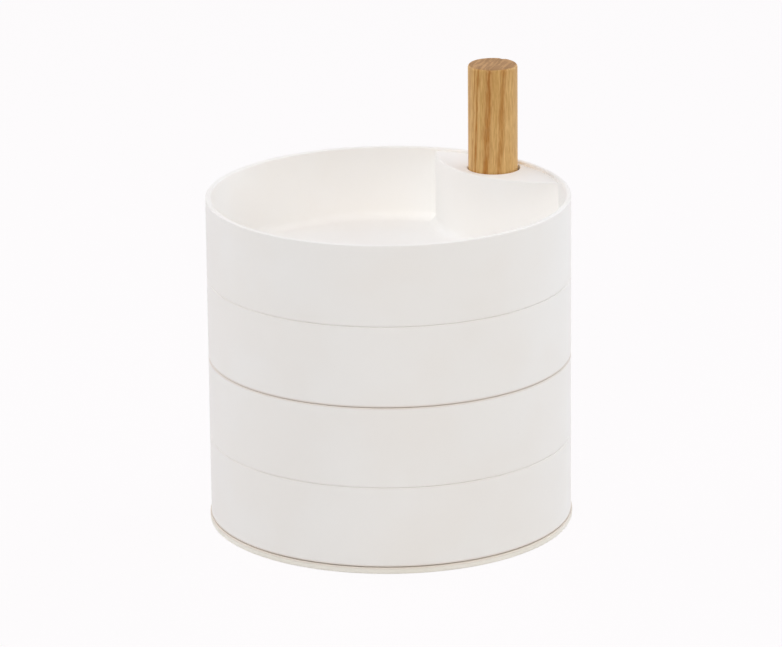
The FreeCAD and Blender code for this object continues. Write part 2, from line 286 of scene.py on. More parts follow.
@dataclass(frozen=True)
class MouldedPlastic:
    """Injection-moulded ABS from a lightly spark-eroded mould: a soft satin, never mirror-like."""

    name: str
    shade: str
    drift_shade: str
    scuff_shade: str = "C9C6C0"
    roughness: float = 0.6
    roughness_swing: float = 0.05
    ior: float = 1.53
    # The melt cools unevenly, which leaves pale patches of another tint a few centimetres wide
    drift: Noise = Noise(even(26.0), 0.35, 0.65)
    # Hands rub the satin duller in some places than in others
    rubbed: Noise = Noise(even(9.0), 0.3, 0.7, detail=4.0)
    # The mould's grain is about 0.05 mm wide; it is drawn coarser so that it shows
    grain: Noise = Noise(even(0.28), detail=1.0)
    grain_depth: float = 0.012
    # Slow waviness of the moulded wall, which keeps its highlights from being ruled lines
    sink: Noise = Noise(even(14.0), detail=0.0)
    sink_depth: float = 0.02
    # Dust specks and short scuffs: about one in five of the places so far apart has one, which
    # is full out to a share of its radius
    speck_spacing: float = 7.0
    speck_radius: float = 0.26
    speck_core: float = 0.4
    speck_rarity: float = 0.78
    speck_strength: float = 0.55
    # Painted shade: a soft warm-grey band beside each seam stands in for the seam's soft shading and for the
    # warm light that the plastic lets through at its edges. The band reaches so far above and below a seam,
    # and so far in from the outer wall
    seam_painted_shade: str = "D6C6B8"
    painted_seam_share: float = 0.5
    painted_seam_reach: float = 0.85
    painted_seam_start: float = 2.0
    painted_seam_full: float = 1.0

    def material(self, seams: Sequence[Seam] = ()) -> Material:
        """Return the material.

        Args:
            seams: The seams of the stack, if the moulding meets them.

        Returns:
            The material, with painted shade beside the seams.
        """
        finish = FinishTree(self.name)
        layers = [Layer(finish.patches(self.drift), self.drift_shade),
                  Layer(self.specks(finish), self.scuff_shade)]
        if seams:
            # Painted shade in soft warm bands beside the seams
            layers.append(Layer(self.painted_seam_mask(finish, seams), self.seam_painted_shade))
        waves = finish.relief(finish.pattern(self.sink), self.sink_depth)
        return finish.surface({
            "IOR": self.ior,
            "Base Color": finish.layered(self.shade, *layers),
            "Roughness": finish.patches(self.rubbed, low=self.roughness - self.roughness_swing,
                                        high=self.roughness + self.roughness_swing),
            "Normal": finish.relief(finish.pattern(self.grain), self.grain_depth, waves),
        })

    def specks(self, finish: FinishTree) -> Node:
        """Return a mask of sparse dust specks and short scuffs, as on a tray that has been used.

        Args:
            finish: The material's tree.

        Returns:
            The node with the mask.
        """
        cells = add_node(finish.tree, "ShaderNodeTexVoronoi",
                         {"Vector": finish.place, "Scale": 1 / self.speck_spacing})
        radius = self.speck_radius / self.speck_spacing
        dot = add_node(finish.tree, "ShaderNodeMapRange",
                       (cells.outputs["Distance"], radius, self.speck_core * radius),
                       interpolation_type="SMOOTHSTEP")
        pick = add_node(finish.tree, "ShaderNodeSeparateColor", (cells.outputs["Color"],))
        chosen = add_node(finish.tree, "ShaderNodeMapRange",
                          (pick.outputs["Red"], self.speck_rarity, 1.0, 0.0, self.speck_strength),
                          interpolation_type="SMOOTHSTEP")
        return add_node(finish.tree, "ShaderNodeMath", (dot, chosen), operation="MULTIPLY")

    def painted_seam_mask(self, finish: FinishTree, seams: Sequence[Seam]) -> Node:
        """Return a mask of the painted shade in soft bands above and below each seam, on the outer wall
        alone.

        Args:
            finish: The material's tree.
            seams: The seams.

        Returns:
            The node with the mask.
        """
        tree = finish.tree
        axes = add_node(tree, "ShaderNodeSeparateXYZ", (finish.place,)).outputs
        bands: Any = 0.0
        for seam in seams:
            above = add_node(tree, "ShaderNodeMath", (axes["Z"], seam.height), operation="SUBTRACT")
            off = add_node(tree, "ShaderNodeMath", (above,), operation="ABSOLUTE")
            band = add_node(tree, "ShaderNodeMapRange",
                            (off, self.painted_seam_reach, seam.gap / 2, 0.0, self.painted_seam_share * seam.strength()),
                            interpolation_type="SMOOTHSTEP")
            bands = add_node(tree, "ShaderNodeMath", (band, bands), operation="MAXIMUM")
        squares = [add_node(tree, "ShaderNodeMath", (axes[name], 2.0), operation="POWER") for name in "XY"]
        square = add_node(tree, "ShaderNodeMath", squares, operation="ADD")
        reach = add_node(tree, "ShaderNodeMath", (square,), operation="SQRT")
        radius = seams[0].radius
        outer = add_node(tree, "ShaderNodeMapRange",
                         (reach, radius - self.painted_seam_start, radius - self.painted_seam_full),
                         interpolation_type="SMOOTHSTEP")
        return add_node(tree, "ShaderNodeMath", (bands, outer), operation="MULTIPLY")


@dataclass(frozen=True)
class OiledAsh:
    """Straight-grained ash, turned and oiled: golden tan with soft orange-brown growth lines."""

    name: str
    centre: Vector
    ior: float = 1.5
    shade: str = "CFA35F"
    pale_shade: str = "E3BC7E"
    ring_shade: str = "B5782B"
    pore_shade: str = "8A5A26"
    # Cut across, the wood drinks more oil and shows greyer and duller than along the grain. The
    # end grain starts and is full where the surface faces up so much
    end_shade: str = "AE8964"
    end_pale_shade: str = "C69E73"
    end_pore_shade: str = "7A5C40"
    end_start: float = 0.55
    end_full: float = 0.85
    roughness: float = 0.5
    end_roughness: float = 0.85
    shine: float = 0.42
    end_shine: float = 0.1
    # In so thin a stick the rings are nearly flat planes: the bearing of their normal, and
    # where along it each dark line lies from the stick's axis
    ring_bearing: float = -16.7
    ring_places: tuple[float, ...] = (-6.0, -4.4, -3.25, 0.1, 3.75)
    ring_widths: tuple[float, ...] = (0.5, 0.5, 0.6, 1.5, 1.0)
    ring_strengths: tuple[float, ...] = (0.5, 0.6, 1.0, 1.0, 0.75)
    # A ring line is full out to this share of its width
    ring_core: float = 0.1
    # The stick was cut a little across the grain, so a ring line drifts as it rises
    ring_lean: float = 0.045
    ring_waver: float = 0.3
    waver: Noise = Noise((4.0, 4.0, 9.0), detail=3.0, roughness=0.6)
    # Ring lines fade and come back over a few millimetres
    ring_breaks: Noise = Noise((0.5, 0.5, 5.0), 0.3, 0.6, roughness=0.6)
    ring_fade: float = 0.45
    # Painted shade: the upper half of the grip is darkened a little, standing in for the bounce light from
    # the white trays that lightens its lower part
    painted_top_shade: str = "F2EEE2"
    painted_top_height: float = 24.0
    # Fibres are far finer; they are drawn as bundles this wide so that they show
    fibres: Noise = Noise((0.4, 0.4, 9.0), 0.3, 0.7, roughness=0.6)
    fibre_floor: float = 0.4
    # Pale streaks that run most of the stick's length
    streaks: Noise = Noise((0.9, 0.9, 24.0), 0.35, 0.65, roughness=0.6)
    streak_floor: float = 0.35
    # Short darker flecks between the bundles
    fleck_shade: str = "EBE3D4"
    flecks: Noise = Noise((0.35, 0.35, 3.5), 0.35, 0.65, roughness=0.6)
    # Vessels are 0.2 mm wide and a few millimetres long, and crowd in the ring lines
    pore_cuts: Noise = Noise((0.2, 0.2, 2.6), 0.6, 0.75, roughness=0.6)
    pore_depth: float = 0.04
    pore_least: float = 0.08
    pore_most: float = 0.4
    # Ring strength at which the vessels stand closest
    pore_crowd: float = 0.8
    # On the sawn top: slanting streaks along the rings, and the round ends of the vessels
    end_streaks: Noise = Noise((0.9, 7.0, 7.0), 0.46, 0.6, roughness=0.6)
    end_pores: Noise = Noise(even(0.2), 0.6, 0.75, detail=1.0)
    end_pore_share: float = 0.35
    end_ring_share: float = 0.22

    def material(self) -> Material:
        """Return the material."""
        finish = FinishTree(self.name)
        tree = finish.tree
        rings = self.rings(finish)
        pores = self.pores(finish, rings)
        facing_up = add_node(tree, "ShaderNodeSeparateXYZ", (finish.facing,)).outputs["Z"]
        cut = add_node(tree, "ShaderNodeMapRange", (facing_up, self.end_start, self.end_full),
                       interpolation_type="SMOOTHSTEP")
        roughness, shine = (
            add_node(tree, "ShaderNodeMapRange", (cut, 0.0, 1.0, *pair), interpolation_type="SMOOTHSTEP")
            for pair in ((self.roughness, self.end_roughness), (self.shine, self.end_shine)))
        uncut = add_node(tree, "ShaderNodeMath", (1.0, pores), operation="SUBTRACT")
        return finish.surface({
            "IOR": self.ior,
            "Base Color": add_node(tree, "ShaderNodeMix", {
                SHARE: cut, UNDER: self.side_grain(finish, rings, pores), OVER: self.end_grain(finish, rings),
            }, data_type="RGBA"),
            "Roughness": roughness,
            "Specular IOR Level": shine,
            "Normal": finish.relief(uncut, self.pore_depth),
        })

    def along_grain(self, finish: FinishTree, noise: Noise, low: float = 0.0) -> Node:
        """Return a mask of patches drawn out along the stick, from low between them to 1."""
        return finish.patches(noise, self.centre, self.ring_bearing, low)

    def side_grain(self, finish: FinishTree, rings: Node, pores: Node) -> Node:
        """Return the colour of the turned side.

        Args:
            finish: The material's tree.
            rings: How strong the growth rings are.
            pores: The mask of the open vessels.

        Returns:
            The node with the colour.
        """
        tree = finish.tree
        bundles = add_node(tree, "ShaderNodeMath",
                           (self.along_grain(finish, self.fibres), 1 - self.fibre_floor, self.fibre_floor),
                           operation="MULTIPLY_ADD")
        streaks = self.along_grain(finish, self.streaks, self.streak_floor)
        pale = add_node(tree, "ShaderNodeMath", (bundles, streaks), operation="MULTIPLY")
        height = add_node(tree, "ShaderNodeSeparateXYZ", (finish.place,)).outputs["Z"]
        # Painted shade: darker towards the top of the grip
        painted_top_mask = add_node(tree, "ShaderNodeMapRange",
                           (height, self.centre.z, self.centre.z + self.painted_top_height),
                           interpolation_type="SMOOTHSTEP")
        return finish.layered(
            self.shade,
            Layer(pale, self.pale_shade),
            Layer(rings, self.ring_shade),
            Layer(pores, self.pore_shade),
            Layer(self.along_grain(finish, self.flecks), self.fleck_shade, Blend.STAIN),
            Layer(painted_top_mask, self.painted_top_shade, Blend.STAIN),
        )

    def end_grain(self, finish: FinishTree, rings: Node) -> Node:
        """Return the colour of the sawn top.

        Args:
            finish: The material's tree.
            rings: How strong the growth rings are.

        Returns:
            The node with the colour.
        """
        pores = finish.patches(self.end_pores, high=self.end_pore_share)
        faint_rings = add_node(finish.tree, "ShaderNodeMath", (rings, self.end_ring_share),
                               operation="MULTIPLY")
        dark = add_node(finish.tree, "ShaderNodeMath", (pores, faint_rings), operation="MAXIMUM")
        return finish.layered(self.end_shade,
                              Layer(self.along_grain(finish, self.end_streaks), self.end_pale_shade),
                              Layer(dark, self.end_pore_shade))

    def rings(self, finish: FinishTree) -> Node:
        """Return how strongly the growth rings darken each point.

        Args:
            finish: The material's tree.

        Returns:
            The node with a value from 0 to 1.
        """
        tree = finish.tree
        axes = add_node(tree, "ShaderNodeSeparateXYZ",
                        (finish.turned(self.centre, self.ring_bearing),)).outputs
        # The noise keeps near its middle, so its swing is widened fourfold
        waver = add_node(tree, "ShaderNodeMath",
                         (finish.pattern(self.waver, self.centre), 4 * self.ring_waver, -2 * self.ring_waver),
                         operation="MULTIPLY_ADD")
        upright = add_node(tree, "ShaderNodeMath", (axes["Z"], -self.ring_lean, axes["X"]),
                           operation="MULTIPLY_ADD")
        across = add_node(tree, "ShaderNodeMath", (upright, waver), operation="ADD")
        lines: Any = 0.0
        for place, width, strength in zip(self.ring_places, self.ring_widths, self.ring_strengths):
            aside = add_node(tree, "ShaderNodeMath", (across, place), operation="SUBTRACT")
            off = add_node(tree, "ShaderNodeMath", (aside,), operation="ABSOLUTE")
            line = add_node(tree, "ShaderNodeMapRange", (off, width, self.ring_core * width, 0.0, strength),
                            interpolation_type="SMOOTHSTEP")
            lines = add_node(tree, "ShaderNodeMath", (line, lines), operation="MAXIMUM")
        broken = self.along_grain(finish, self.ring_breaks, self.ring_fade)
        return add_node(tree, "ShaderNodeMath", (lines, broken), operation="MULTIPLY")

    def pores(self, finish: FinishTree, rings: Node) -> Node:
        """Return a mask of the open vessels.

        Args:
            finish: The material's tree.
            rings: How strong the growth rings are.

        Returns:
            The node with the mask.
        """
        crowd = add_node(finish.tree, "ShaderNodeMapRange",
                         (rings, 0.0, self.pore_crowd, self.pore_least, self.pore_most),
                         interpolation_type="SMOOTHSTEP")
        return add_node(finish.tree, "ShaderNodeMath", (self.along_grain(finish, self.pore_cuts), crowd),
                        operation="MULTIPLY")


@dataclass(frozen=True)
class MachinedMetal:
    """Turned, drawn or plated metal: fine marks round or along it, and patchy dullness."""

    name: str
    shade: str
    dull_shade: str
    roughness: float = 0.3
    roughness_swing: float = 0.08
    dull: Noise = Noise(even(3.0), 0.35, 0.7, detail=3.0)
    # Tool marks are a few hundredths of a millimetre apart; they are drawn coarser so that
    # they show, and here they run round the piece
    marks: Noise = Noise((0.96, 0.96, 0.12), detail=1.0)
    mark_depth: float = 0.004

    def material(self) -> Material:
        """Return the material."""
        finish = FinishTree(self.name)
        dull = finish.patches(self.dull)
        limits = (self.roughness - self.roughness_swing, self.roughness + self.roughness_swing)
        return finish.surface({
            "Metallic": 1.0,
            "Base Color": finish.layered(self.shade, Layer(dull, self.dull_shade)),
            "Roughness": add_node(finish.tree, "ShaderNodeMapRange", (dull, 0.0, 1.0, *limits),
                                  interpolation_type="SMOOTHSTEP"),
            "Normal": finish.relief(finish.pattern(self.marks), self.mark_depth),
        })


@dataclass(frozen=True)
class SoftRubber:
    """Die-cut rubber pad: matt, faintly mottled, with a fine open grain."""

    name: str = "grey_foot_rubber"
    shade: str = "B4B3AF"
    dust_shade: str = "C8C6C0"
    ior: float = 1.45
    roughness: float = 0.85
    dusty_roughness: float = 0.95
    dust: Noise = Noise(even(1.6), 0.4, 0.7, detail=4.0)
    # The pores of the sheet are about 0.1 mm wide; they are drawn coarser so that they show
    grain: Noise = Noise(even(0.22))
    grain_depth: float = 0.03

    def material(self) -> Material:
        """Return the material."""
        finish = FinishTree(self.name)
        dust = finish.patches(self.dust)
        return finish.surface({
            "IOR": self.ior,
            "Base Color": finish.layered(self.shade, Layer(dust, self.dust_shade)),
            "Roughness": add_node(finish.tree, "ShaderNodeMapRange",
                                  (dust, 0.0, 1.0, self.roughness, self.dusty_roughness),
                                  interpolation_type="SMOOTHSTEP"),
            "Normal": finish.relief(finish.pattern(self.grain), self.grain_depth),
        })


def dress(material: Material, *names: str) -> None:
    """Give CAD nodes a finish, and report them.

    Args:
        material: The finish.
        *names: The nodes that get it.
    """
    for name in names:
        node = frame["nodes"][name]
        node.data.materials.clear()
        node.data.materials.append(material)
        LOG.info("dressed %s in %s", name, material.name)


def link_mesh(name: str, mesh: Mesh) -> Object:
    """Put a finished mesh into the scene as an object that sits at the origin.

    Args:
        name: The object's name.
        mesh: The mesh.

    Returns:
        The object.
    """
    piece = bpy.data.objects.new(name, mesh)
    bpy.context.scene.collection.objects.link(piece)
    return piece


class Outline(Enum):
    """What a ring of a lathe profile looks like from above."""

    CIRCLE = "circle"
    HEXAGON = "hexagon"


class Ends(Enum):
    """What becomes of the two ends of a lathe profile."""

    CAPPED = "each end gets a flat cap"
    JOINED = "the last ring joins the first, as in a tube"


class Edge(Enum):
    """Which outer edge of a turned piece is rounded."""

    UPPER = "upper"
    LOWER = "lower"


@dataclass(frozen=True)
class Ring:
    """One ring of a lathe profile."""

    radius: float
    height: float
    outline: Outline = Outline.CIRCLE

    def reach(self, angle: float) -> float:
        """Return how far out the ring is at an angle.

        Args:
            angle: The angle in radians.

        Returns:
            The distance from the axis; a hexagon's flats are at the ring's radius.
        """
        if self.outline is Outline.CIRCLE:
            return self.radius
        sixth = math.pi / 3
        return self.radius / math.cos((angle + sixth / 2) % sixth - sixth / 2)


def lathe(rings: Sequence[Ring], steps: int, centre: Vector, ends: Ends = Ends.CAPPED,
          shape: Callable[[Vector], Vector] | None = None) -> bmesh.types.BMesh:
    """Turn a profile into a closed skin.

    Args:
        rings: The profile, in millimetres, from one end of the skin to the other.
        steps: How many faces go once round.
        centre: The axis's place in plan, in millimetres.
        ends: What becomes of the first and the last ring.
        shape: Moves a vertex, given in millimetres about the axis.

    Returns:
        The skin in metres, in the frame.
    """
    skin = bmesh.new()
    loops = []
    for ring in rings:
        loop = []
        for step in range(steps):
            angle = 2 * math.pi * step / steps
            reach = ring.reach(angle)
            point = Vector((reach * math.cos(angle), reach * math.sin(angle), ring.height))
            loop.append(skin.verts.new(shape(point) if shape else point))
        loops.append(loop)
    if ends is Ends.CAPPED:
        skin.faces.new(list(reversed(loops[0])))
        skin.faces.new(loops[-1])
    else:
        loops.append(loops[0])
    for lower, upper in zip(loops, loops[1:]):
        for step in range(steps):
            after = (step + 1) % steps
            skin.faces.new((lower[step], lower[after], upper[after], upper[step]))
    bmesh.ops.translate(skin, verts=skin.verts, vec=centre)
    bmesh.ops.scale(skin, verts=skin.verts, vec=(MM, MM, MM))
    bmesh.ops.recalc_face_normals(skin, faces=skin.faces)
    return skin


def finish_mesh(name: str, skin: bmesh.types.BMesh, material: Material, sharp: float = 35.0) -> Mesh:
    """Turn a skin into a dressed mesh with soft shading.

    Args:
        name: The mesh's name.
        skin: The skin, which is used up.
        material: The finish.
        sharp: The angle in degrees from which an edge stays sharp.

    Returns:
        The mesh.
    """
    mesh = bpy.data.meshes.new(name)
    skin.to_mesh(mesh)
    skin.free()
    mesh.materials.append(material)
    mesh.shade_smooth()
    mesh.set_sharp_from_angle(angle=math.radians(sharp))
    return mesh


def fillet(radius: float, corner_radius: float, level: float, edge: Edge, points: int = 8) -> list[Ring]:
    """Return the rings of a rounded outer edge, from the bottom up.

    Args:
        radius: The piece's outer radius.
        corner_radius: The rounding's own radius.
        level: The height of the flat face that the rounding runs into.
        edge: Which edge it is.
        points: How many steps the quarter circle takes.

    Returns:
        The rings.
    """
    rings = []
    for step in range(points + 1):
        angle = math.pi / 2 * step / points
        inward = corner_radius * (1 - math.cos(angle))
        off = corner_radius * (1 - math.sin(angle))
        rings.append(Ring(radius - inward, level - off if edge is Edge.UPPER else level + off))
    return rings if edge is Edge.UPPER else rings[::-1]


class ShapeNodes:
    """A Geometry Nodes tree that adds to an object, with named sizes in metres."""

    def __init__(self, name: str, lengths: Sequence[str], count: str) -> None:
        """Start a tree.

        Args:
            name: The tree's name.
            lengths: The names of the inputs that are lengths.
            count: The name of the input that is a whole number.
        """
        self.tree: GeometryNodeTree = bpy.data.node_groups.new(name, "GeometryNodeTree")
        face = self.tree.interface
        face.new_socket("Geometry", in_out="INPUT", socket_type="NodeSocketGeometry")
        face.new_socket("Geometry", in_out="OUTPUT", socket_type="NodeSocketGeometry")
        kinds = {**dict.fromkeys(lengths, "NodeSocketFloat"), count: "NodeSocketInt"}
        self.identifiers = {label: face.new_socket(label, in_out="INPUT", socket_type=kind).identifier
                            for label, kind in kinds.items()}
        self.start = add_node(self.tree, "NodeGroupInput").outputs

    def moved(self, geometry: Node, *place: NodeSocket) -> Node:
        """Return geometry moved to a place, given as its X, Y and Z."""
        vector = add_node(self.tree, "ShaderNodeCombineXYZ", place)
        return add_node(self.tree, "GeometryNodeTransform", {"Geometry": geometry, "Translation": vector})

    def end(self, material: Material, *parts: Node) -> None:
        """Join the parts to the object's own shape, as real geometry in one finish.

        Args:
            material: The finish.
            *parts: The parts.
        """
        joined = add_node(self.tree, "GeometryNodeJoinGeometry", (self.start["Geometry"],))
        for part in parts:
            self.tree.links.new(part.outputs[0], joined.inputs[0])
        real = add_node(self.tree, "GeometryNodeRealizeInstances", (joined,))
        dressed = add_node(self.tree, "GeometryNodeSetMaterial", {"Geometry": real, "Material": material})
        add_node(self.tree, "NodeGroupOutput", (dressed,))

    def run(self, piece: Object, **sizes: float) -> None:
        """Run the tree on an object, and keep the mesh that comes out.

        Args:
            piece: The object.
            **sizes: The tree's named sizes, in metres.
        """
        modifier = piece.modifiers.new(self.tree.name, "NODES")
        modifier.node_group = self.tree
        for label, size in sizes.items():
            modifier[self.identifiers[label]] = size
        graph = bpy.context.evaluated_depsgraph_get()
        mesh = bpy.data.meshes.new_from_object(piece.evaluated_get(graph))
        piece.modifiers.remove(modifier)
        mesh.name = piece.name
        piece.data = mesh


def screw_thread(material: Material) -> ShapeNodes:
    """Build the tree of a helical ridge: a four-cornered section drawn along a spiral.

    Args:
        material: The finish.

    Returns:
        The tree.
    """
    nodes = ShapeNodes("screw_thread", ("x", "y", "start", "crest", "ridge", "pitch", "length"), "steps")
    tree, start = nodes.tree, nodes.start
    reach = add_node(tree, "ShaderNodeMath", (start["crest"], start["ridge"]), operation="SUBTRACT")
    turns = add_node(tree, "ShaderNodeMath", (start["length"], start["pitch"]), operation="DIVIDE")
    spiral = add_node(tree, "GeometryNodeCurveSpiral", {
        "Resolution": start["steps"],
        "Rotations": turns,
        "Start Radius": reach,
        "End Radius": reach,
        "Height": start["length"],
    })
    upright = add_node(tree, "GeometryNodeSetCurveNormal", {"Curve": spiral}, mode="Z_UP")
    section = add_node(tree, "GeometryNodeCurvePrimitiveCircle",
                       {"Resolution": 4, "Radius": start["ridge"]})
    ridge = add_node(tree, "GeometryNodeCurveToMesh",
                     {"Curve": upright, "Profile Curve": section, "Fill Caps": True})
    faceted = add_node(tree, "GeometryNodeSetShadeSmooth", {"Geometry": ridge, "Shade Smooth": False})
    nodes.end(material, nodes.moved(faceted, start["x"], start["y"], start["start"]))
    return nodes


def knurled_bands(material: Material) -> ShapeNodes:
    """Build the tree of two bands of upright teeth, each tooth a turned square bar.

    Args:
        material: The finish.

    Returns:
        The tree.
    """
    nodes = ShapeNodes("knurled_bands", ("x", "y", "crest", "tooth", "band", "lower", "upper"), "teeth")
    tree, start = nodes.tree, nodes.start
    reach = add_node(tree, "ShaderNodeMath", (start["crest"], start["tooth"]), operation="SUBTRACT")
    places = add_node(tree, "GeometryNodeMeshCircle", {"Vertices": start["teeth"], "Radius": reach})
    bar = add_node(tree, "GeometryNodeMeshCylinder",
                   {"Vertices": 4, "Radius": start["tooth"], "Depth": start["band"]})
    index = add_node(tree, "GeometryNodeInputIndex")
    round_turns = add_node(tree, "ShaderNodeMath", (index, 2 * math.pi), operation="MULTIPLY")
    turn = add_node(tree, "ShaderNodeMath", (round_turns, start["teeth"]), operation="DIVIDE")
    upright = add_node(tree, "ShaderNodeCombineXYZ", {"Z": turn})
    band = add_node(tree, "GeometryNodeInstanceOnPoints",
                    {"Points": places, "Instance": bar, "Rotation": upright})
    nodes.end(material, *(nodes.moved(band, start["x"], start["y"], start[level])
                          for level in ("lower", "upper")))
    return nodes


def take_place(piece: Object, node: str) -> Object:
    """Let a finished piece stand for a CAD node of the stand.

    Args:
        piece: The piece.
        node: The node that it replaces.

    Returns:
        The piece.
    """
    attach(piece, "stand")
    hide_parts(node)
    LOG.info("built %s in place of %s", piece.name, node)
    return piece


def post_centre() -> Vector:
    """Return the post's place in plan, in millimetres, from the frame's joints."""
    x, y, _ = frame["joints"][0]["pos_m"]
    return Vector((x / MM, y / MM, 0))


@dataclass
class TrayStack:
    """The four trays, each a moulding of its own, and the ivory base that they stand on."""

    trays: Sequence[str] = ("tray_1", "tray_2", "tray_3", "tray_4")
    base: str = "base_plate"
    feet: Sequence[str] = ("foot_pad_1", "foot_pad_2", "foot_pad_3", "foot_pad_4")
    # How far in from a node's outermost point still counts as its outer edge
    edge_land: float = 1.0
    tray_finish: MouldedPlastic = MouldedPlastic("warm_white_abs", "F8F7F5", "F7F5F2")
    base_finish: MouldedPlastic = MouldedPlastic("ivory_abs", "F6F3EB", "F3F0E6")
    foot_finish: SoftRubber = SoftRubber()

    def build(self) -> None:
        """Dress the trays, the base and its feet."""
        seams = self.seams()
        dress(self.tray_finish.material(seams), *self.trays)
        dress(self.base_finish.material(seams), self.base)
        dress(self.foot_finish.material(), *self.feet)

    def seams(self) -> list[Seam]:
        """Find the seams of the stack.

        Returns:
            The seams, from the lowest up, as the frame has them.
        """
        stack = (self.base, *reversed(self.trays))
        found = []
        for lower, upper in zip(stack, stack[1:]):
            top = self.wall_top(lower)
            low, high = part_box(upper)
            bottom = low.z / MM
            found.append(Seam((top + bottom) / 2, bottom - top, high.x / MM))
        return found

    def wall_top(self, node: str) -> float:
        """Return how high a node's outer edge reaches.

        Args:
            node: The node's name.

        Returns:
            The height in millimetres.
        """
        points = [vertex.co / MM for vertex in frame["nodes"][node].data.vertices]
        radius = max(point.xy.length for point in points)
        return max(point.z for point in points if point.xy.length > radius - self.edge_land)


@dataclass
class TurnedHandle:
    """The wooden dowel: a rounded top edge, one small chip, and a blind bore for the insert."""

    name: str = "turned_handle"
    steps: int = 128
    # The bore was drilled a little off the middle, so the dowel sits to one side of its socket
    drilled_off: tuple[float, float] = (-0.22, 0.0)
    top_round: float = 1.0
    foot_chamfer: float = 0.4
    bore_radius: float = 3.53
    bore_depth: float = 14.1
    # A point this near to the bore's wall belongs to it
    bore_skin: float = 0.001
    body_steps: int = 6
    # The sawn top's rings, as shares of its radius
    top_shares: tuple[float, ...] = (0.75, 0.5, 0.2)
    # The chip, on the top edge behind and to the right
    chip_bearing: float = 62.0
    chip_width: float = 1.3
    chip_depth: float = 0.38
    # A hand-sanded dowel is never quite round
    waver: float = 0.03
    lobes: int = 5

    def build(self) -> Object:
        """Build the dowel in place of the plain one.

        Returns:
            The dowel.
        """
        low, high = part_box("handle")
        bottom, top = low.z / MM, high.z / MM
        radius = (high.x - low.x) / MM / 2
        centre = post_centre()
        foot, shoulder = bottom + self.foot_chamfer, top - self.top_round
        rings = [
            Ring(self.bore_radius, bottom + self.bore_depth),
            Ring(self.bore_radius, bottom),
            Ring(radius - self.foot_chamfer, bottom),
            Ring(radius, foot),
        ]
        rings += [Ring(radius, foot + step / self.body_steps * (shoulder - foot))
                  for step in range(1, self.body_steps)]
        rings += fillet(radius, self.top_round, top, Edge.UPPER)
        rings += [Ring((radius - self.top_round) * share, top) for share in self.top_shares]
        skin = lathe(rings, self.steps, centre, shape=lambda point: self.worn(point, radius, top))
        wood = OiledAsh("oiled_ash", Vector((centre.x, centre.y, (bottom + top) / 2)))
        piece = link_mesh(self.name, finish_mesh(self.name, skin, wood.material()))
        return take_place(piece, "handle")

    def worn(self, point: Vector, radius: float, top: float) -> Vector:
        """Move a point for the dowel's waver and for the chip at its top edge.

        Args:
            point: The point, about the dowel's axis.
            radius: The dowel's radius.
            top: The height of its top.

        Returns:
            The moved point.
        """
        reach = math.hypot(point.x, point.y)
        if reach < self.bore_radius + self.bore_skin and point.z < top:
            return point
        angle = math.atan2(point.y, point.x)
        grown = reach * (1 - self.waver / radius * (1 + math.sin(self.lobes * angle)) / 2)
        moved = Vector((grown * math.cos(angle) + self.drilled_off[0],
                        grown * math.sin(angle) + self.drilled_off[1], point.z))
        off = math.remainder(angle - math.radians(self.chip_bearing), 2 * math.pi) * radius
        near_edge = math.prod(max(0.0, 1 - away / self.chip_width)
                              for away in (radius - reach, top - point.z))
        dent = self.chip_depth * math.exp(-(off / self.chip_width * 2) ** 2) * near_edge
        moved.z -= dent
        moved.xy = moved.xy * (1 - dent / radius)
        return moved


@dataclass
class TieBolt:
    """The M5 button-head bolt from under the base, with a hexagon socket and a rolled thread."""

    name: str = "threaded_tie_bolt"
    steps: int = 48
    head_height: float = 2.75
    head_round: float = 2.0
    socket_flats: float = 3.0
    socket_depth: float = 1.6
    shank_radius: float = 2.5
    core_radius: float = 2.05
    thread_pitch: float = 0.8
    thread_length: float = 22.0
    thread_ridge: float = 0.36
    # How many steps the thread takes in one turn
    thread_steps: int = 24
    tip_chamfer: float = 0.5

    def build(self, finish: Material) -> Object:
        """Build the bolt in place of the plain one.

        Args:
            finish: The bolt's material.

        Returns:
            The bolt.
        """
        low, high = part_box("pivot_bolt")
        bottom, tip = low.z / MM, high.z / MM
        radius = (high.x - low.x) / MM / 2
        centre = post_centre()
        thread_start = tip - self.tip_chamfer - self.thread_length
        rings = [
            Ring(self.socket_flats / 2, bottom + self.socket_depth, Outline.HEXAGON),
            Ring(self.socket_flats / 2, bottom, Outline.HEXAGON),
            *fillet(radius, self.head_round, bottom, Edge.LOWER),
            Ring(radius, bottom + self.head_height),
            Ring(self.shank_radius, bottom + self.head_height),
            Ring(self.shank_radius, thread_start - self.tip_chamfer),
            Ring(self.core_radius, thread_start),
            Ring(self.core_radius, tip - self.tip_chamfer),
            Ring(self.core_radius - self.tip_chamfer, tip),
        ]
        piece = link_mesh(self.name, finish_mesh(self.name, lathe(rings, self.steps, centre), finish))
        screw_thread(finish).run(
            piece, x=centre.x * MM, y=centre.y * MM, start=thread_start * MM,
            crest=self.shank_radius * MM, ridge=self.thread_ridge * MM, pitch=self.thread_pitch * MM,
            length=self.thread_length * MM, steps=self.thread_steps)
        return take_place(piece, "pivot_bolt")


